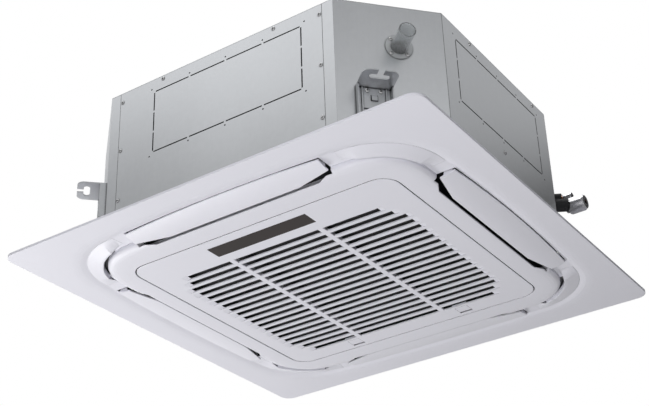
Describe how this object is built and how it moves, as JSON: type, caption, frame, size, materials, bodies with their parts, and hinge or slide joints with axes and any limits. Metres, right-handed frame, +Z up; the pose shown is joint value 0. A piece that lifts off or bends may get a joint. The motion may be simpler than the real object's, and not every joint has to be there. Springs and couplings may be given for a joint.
{
  "type": "ceiling cassette air conditioner",
  "caption": "Ceiling cassette with an eight-sided sheet steel body and a square panel: a slatted intake grille with curved louvers along its sides.",
  "frame": {"origin": "under the middle of the panel, at the level of the grille's face", "axes": "+Z up into the ceiling, the slats run along X, the pipes leave at +X +Y and the drain at +X -Y"},
  "size_m": [0.95, 0.95, 0.328],
  "materials": {
    "white_moulding": "smooth satin moulding",
    "grey_moulding": "glass filled moulding",
    "dark_moulding": "satin",
    "white_foam": "expanded polystyrene beads",
    "dark_foam": "coated expanded polystyrene beads",
    "galvanised_sheet": "galvanised, fine spangle",
    "bracket_steel": "plated steel",
    "plated_steel": "zinc plated",
    "coil_fins": "thin fins",
    "copper_pipe": "drawn copper",
    "dark_nut": "dark plated, turned",
    "smoked_window": "smoked, glossy",
    "clear_socket": "clear moulding",
    "black_rubber": "matt foam rubber",
    "filter_mesh": "fine net",
    "green_board": "lacquered board"
  },
  "bodies": {
    "unit": {"bell_mouth": "grey_moulding", "body_screws": "plated_steel", "bracket_screws": "plated_steel", "circuit_board": "green_board", "coil_end_plates": "plated_steel", "coil_headers": "copper_pipe", "control_box": "galvanised_sheet", "control_box_cover": "galvanised_sheet", "corner_panel_back_left": "galvanised_sheet", "corner_panel_back_right": "galvanised_sheet", "corner_panel_front_left": "galvanised_sheet", "corner_panel_front_right": "galvanised_sheet", "drain_flange": "plated_steel", "drain_pan": "dark_foam", "drain_pump": "dark_moulding", "drain_riser": "black_rubber", "drain_socket": "clear_socket", "duct_collars": "dark_moulding", "evaporator_coil": "coil_fins", "fan_motor": "plated_steel", "fitting_screws": "plated_steel", "flare_nuts": "dark_nut", "float_switch": "dark_moulding", "gas_pipe": "copper_pipe", "hanger_bracket_back_left": "bracket_steel", "hanger_bracket_back_right": "bracket_steel", "hanger_bracket_front_left": "bracket_steel", "hanger_bracket_front_right": "bracket_steel", "insulation_liner": "white_foam", "liquid_pipe": "copper_pipe", "louver_motors": "dark_moulding", "motor_mounts": "black_rubber", "panel_frame": "white_moulding", "panel_screws": "plated_steel", "panel_seal": "black_rubber", "pipe_cover_plate": "plated_steel", "pipe_insulation": "black_rubber", "side_panel_back": "galvanised_sheet", "side_panel_front": "galvanised_sheet", "side_panel_left": "galvanised_sheet", "side_panel_right": "galvanised_sheet", "top_cover": "galvanised_sheet"},
    "fan": {"impeller": "grey_moulding", "impeller_blades": "grey_moulding", "impeller_shroud": "grey_moulding", "motor_shaft": "plated_steel", "impeller_nut": "plated_steel"},
    "louver_front": {"louver_front": "white_moulding"},
    "louver_right": {"louver_right": "white_moulding"},
    "louver_back": {"louver_back": "white_moulding"},
    "louver_left": {"louver_left": "white_moulding"},
    "grille": {"intake_grille": "white_moulding", "air_filter": "filter_mesh", "display_window": "smoked_window", "receiver_board": "green_board", "grille_hinge_pins": "plated_steel"},
    "latch_left": {"grille_latch_left": "white_moulding"},
    "latch_right": {"grille_latch_right": "white_moulding"},
    "float": {"float_ring": "dark_moulding"}
  },
  "joints": [
    {"name": "fan_spin", "type": "hinge", "parent": "unit", "child": "fan", "pos_m": [0, 0, 0.2], "axis": [0, 0, 1], "continuous": true},
    {"name": "louver_front_swing", "type": "hinge", "parent": "unit", "child": "louver_front", "pos_m": [0, -0.385, 0.028], "axis": [1, 0, 0], "range_deg": [0, 45]},
    {"name": "louver_right_swing", "type": "hinge", "parent": "unit", "child": "louver_right", "pos_m": [0.385, 0, 0.028], "axis": [0, 1, 0], "range_deg": [0, 45]},
    {"name": "louver_back_swing", "type": "hinge", "parent": "unit", "child": "louver_back", "pos_m": [0, 0.385, 0.028], "axis": [-1, 0, 0], "range_deg": [0, 45]},
    {"name": "louver_left_swing", "type": "hinge", "parent": "unit", "child": "louver_left", "pos_m": [-0.385, 0, 0.028], "axis": [0, -1, 0], "range_deg": [0, 45]},
    {"name": "grille_hinge", "type": "hinge", "parent": "unit", "child": "grille", "pos_m": [0, -0.263, 0.007], "axis": [-1, 0, 0], "range_deg": [0, 90]},
    {"name": "latch_left_slide", "type": "slide", "parent": "grille", "child": "latch_left", "axis": [0, 1, 0], "range_m": [0, 0.006]},
    {"name": "latch_right_slide", "type": "slide", "parent": "grille", "child": "latch_right", "axis": [0, 1, 0], "range_m": [0, 0.006]},
    {"name": "float_rise", "type": "slide", "parent": "unit", "child": "float", "axis": [0, 0, 1], "range_m": [0, 0.015]}
  ]
}
